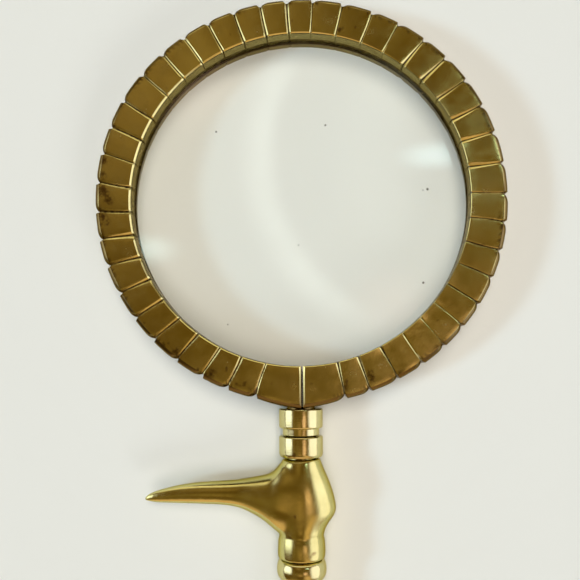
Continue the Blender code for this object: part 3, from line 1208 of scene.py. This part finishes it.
# Soft patches of light in the room: centre on the unit disc seen from above, spread, colour.
GLOWS = (
    ((0.31, -0.13), (0.22, 0.19), (1.45, 0.92, 0.72)),
    ((0.42, -0.50), (0.34, 0.36), (0.80, 0.52, 0.28)),
    ((-0.24, 0.42), (0.34, 0.38), (0.16, 0.11, 0.055)),
    ((-0.08, -0.27), (0.30, 0.20), (0.40, 0.26, 0.12)),
    ((0.43, 0.38), (0.15, 0.065), (3.8, 5.4, 5.6)),
)
CEILING_DARK = (0.14, 0.078, 0.012)
CEILING_LIGHT = (0.22, 0.145, 0.04)
# The two windows: where each fades in towards the side and out towards its ends.
LEFT_WINDOW = (1.8, 2.0, 2.45)
LEFT_MIDDLE = 0.17
LEFT_IN, LEFT_ENDS, LEFT_SILL = (-0.66, -0.80), (0.5, 0.2), (0.02, 0.14)
RIGHT_WINDOW = (1.5, 1.5, 1.85)
RIGHT_IN, RIGHT_ENDS = (0.56, 0.80), (0.75, 0.45)
# Copper-coloured cloth in front, and a pale wall at the back.
CLOTH, CLOTH_IN = (0.75, 0.5, 0.33), (-0.60, -0.86)
WALL, WALL_IN = (0.95, 0.88, 0.72), (0.68, 0.88)
BACKDROP = (0.86, 0.85, 0.82, 1.0)

# Far lamps: name, the way towards it, strength, the angle it is seen under, colour. Cool daylight
# comes from low on the left, weaker light from low in front, and broad soft light from above.
LAMPS = (
    ("window_daylight", (-0.80, -0.18, 0.57), 1.0, 9.0, (0.50, 0.78, 0.98)),
    ("front_window", (0.50, -0.68, 0.50), 0.75, 20.0, (0.74, 0.78, 0.76)),
    ("overhead_front", (0.02, -0.30, 0.95), 1.1, 36.0, (0.98, 0.93, 0.84)),
    ("overhead_back", (0.06, 0.27, 0.96), 1.37, 28.0, (0.98, 0.93, 0.80)),
)

# Fitted to the photograph, in metres where not said otherwise.
CAMERA_SENSOR_MM = 36.0
CAMERA_LENS_MM = 40.345
CAMERA_SHIFT_X = 0.0017
CAMERA_NEAR = 0.01
CAMERA_PLACE = Vector((0.00509, 0.01174, 0.21129))
CAMERA_AIM = Vector((-0.0035, 0.03463, 0.0075))
CAMERA_UP = Vector((0.0089, 0.9938, 0.1113))


def table():
    bm = bmesh.new()
    sides = ((-1, -1), (1, -1), (1, 1), (-1, 1))
    bm.faces.new([bm.verts.new((x * TABLE_HALF, y * TABLE_HALF, 0.0)) for x, y in sides])
    mesh = bpy.data.meshes.new("table")
    bm.to_mesh(mesh)
    bm.free()
    obj = bpy.data.objects.new("table", mesh)
    obj.location.z = -TABLE_GAP
    bpy.context.scene.collection.objects.link(obj)
    mesh.materials.append(table_paper())


def glow(tree, direction, centre, spread, colour):
    """A soft patch of light that is brightest at its centre and gone at its spread."""
    flat = vector_node(tree, "MULTIPLY", direction, (1.0 / spread[0], 1.0 / spread[1], 0.0))
    middle = (centre[0] / spread[0], centre[1] / spread[1], 0.0)
    away = vector_node(tree, "DISTANCE", flat.outputs["Vector"], middle)
    return mix(tree, fade(tree, away.outputs["Value"], 1.0, 0.0), BLACK, colour)


def room():
    """What brass and glass reflect. It lights nothing else. The camera sees a plain backdrop."""
    world = bpy.data.worlds.new("room")
    world.use_nodes = True
    tree = world.node_tree
    direction = tree.nodes.new("ShaderNodeTexCoord").outputs["Generated"]
    parts = tree.nodes.new("ShaderNodeSeparateXYZ")
    tree.links.new(direction, parts.inputs["Vector"])
    east, north, up = parts.outputs["X"], parts.outputs["Y"], parts.outputs["Z"]
    off_left = math_node(tree, "ABSOLUTE", math_node(tree, "SUBTRACT", north, LEFT_MIDDLE))
    off_right = math_node(tree, "ABSOLUTE", north)
    left = product(tree, fade(tree, east, *LEFT_IN), fade(tree, off_left, *LEFT_ENDS))
    left = product(tree, left, fade(tree, up, *LEFT_SILL))
    right = product(tree, fade(tree, east, *RIGHT_IN), fade(tree, off_right, *RIGHT_ENDS))
    clouds = fade(tree, noise_at(tree, direction, *CEILING_CLOUDS), *CEILING_EDGE)
    colours = [
        mix(tree, clouds, CEILING_DARK, CEILING_LIGHT),
        mix(tree, left, BLACK, LEFT_WINDOW),
        mix(tree, right, BLACK, RIGHT_WINDOW),
        mix(tree, fade(tree, north, *CLOTH_IN), BLACK, CLOTH),
        mix(tree, fade(tree, north, *WALL_IN), BLACK, WALL),
    ]
    colours += [glow(tree, direction, *values) for values in GLOWS]
    total = colours[0]
    for colour in colours[1:]:
        total = vector_node(tree, "ADD", total, colour).outputs["Vector"]
    lit = tree.nodes["Background"]
    tree.links.new(total, lit.inputs["Color"])
    backdrop = node(tree, "ShaderNodeBackground", Color=BACKDROP)
    choice = tree.nodes.new("ShaderNodeMixShader")
    seen = tree.nodes.new("ShaderNodeLightPath").outputs["Is Camera Ray"]
    tree.links.new(seen, choice.inputs["Fac"])
    tree.links.new(lit.outputs["Background"], choice.inputs[1])
    tree.links.new(backdrop.outputs["Background"], choice.inputs[2])
    tree.links.new(choice.outputs["Shader"], tree.nodes["World Output"].inputs["Surface"])
    bpy.context.scene.world = world
    world.cycles_visibility.diffuse = False
    bpy.context.scene.view_settings.view_transform = "Standard"


def lamps():
    """They light the table and show in no reflection and through no glass."""
    for name, towards, strength, degrees, colour in LAMPS:
        data = bpy.data.lights.new(name, "SUN")
        data.energy = strength
        data.color = colour
        data.angle = math.radians(degrees)
        obj = bpy.data.objects.new(name, data)
        obj.rotation_euler = Vector(towards).to_track_quat("Z", "Y").to_euler()
        obj.visible_glossy = False
        obj.visible_transmission = False
        bpy.context.scene.collection.objects.link(obj)


def camera():
    """Above the table, looking almost straight down, leaning a little towards the handle."""
    data = bpy.data.cameras.new("camera")
    data.sensor_width = CAMERA_SENSOR_MM
    data.lens = CAMERA_LENS_MM
    data.shift_x = CAMERA_SHIFT_X
    data.clip_start = CAMERA_NEAR
    obj = bpy.data.objects.new("camera", data)
    forward = (CAMERA_AIM - CAMERA_PLACE).normalized()
    right = forward.cross(CAMERA_UP).normalized()
    up = right.cross(forward)
    obj.matrix_world = Matrix((right, up, -forward)).transposed().to_4x4()
    obj.location = CAMERA_PLACE
    bpy.context.scene.collection.objects.link(obj)
    bpy.context.scene.camera = obj


lens_frame()
lens()
collars()
beaked_head()
lower_handle()
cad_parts["tie_rod"].data.materials.clear()
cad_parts["tie_rod"].data.materials.append(rod_steel())
table()
room()
lamps()
camera()
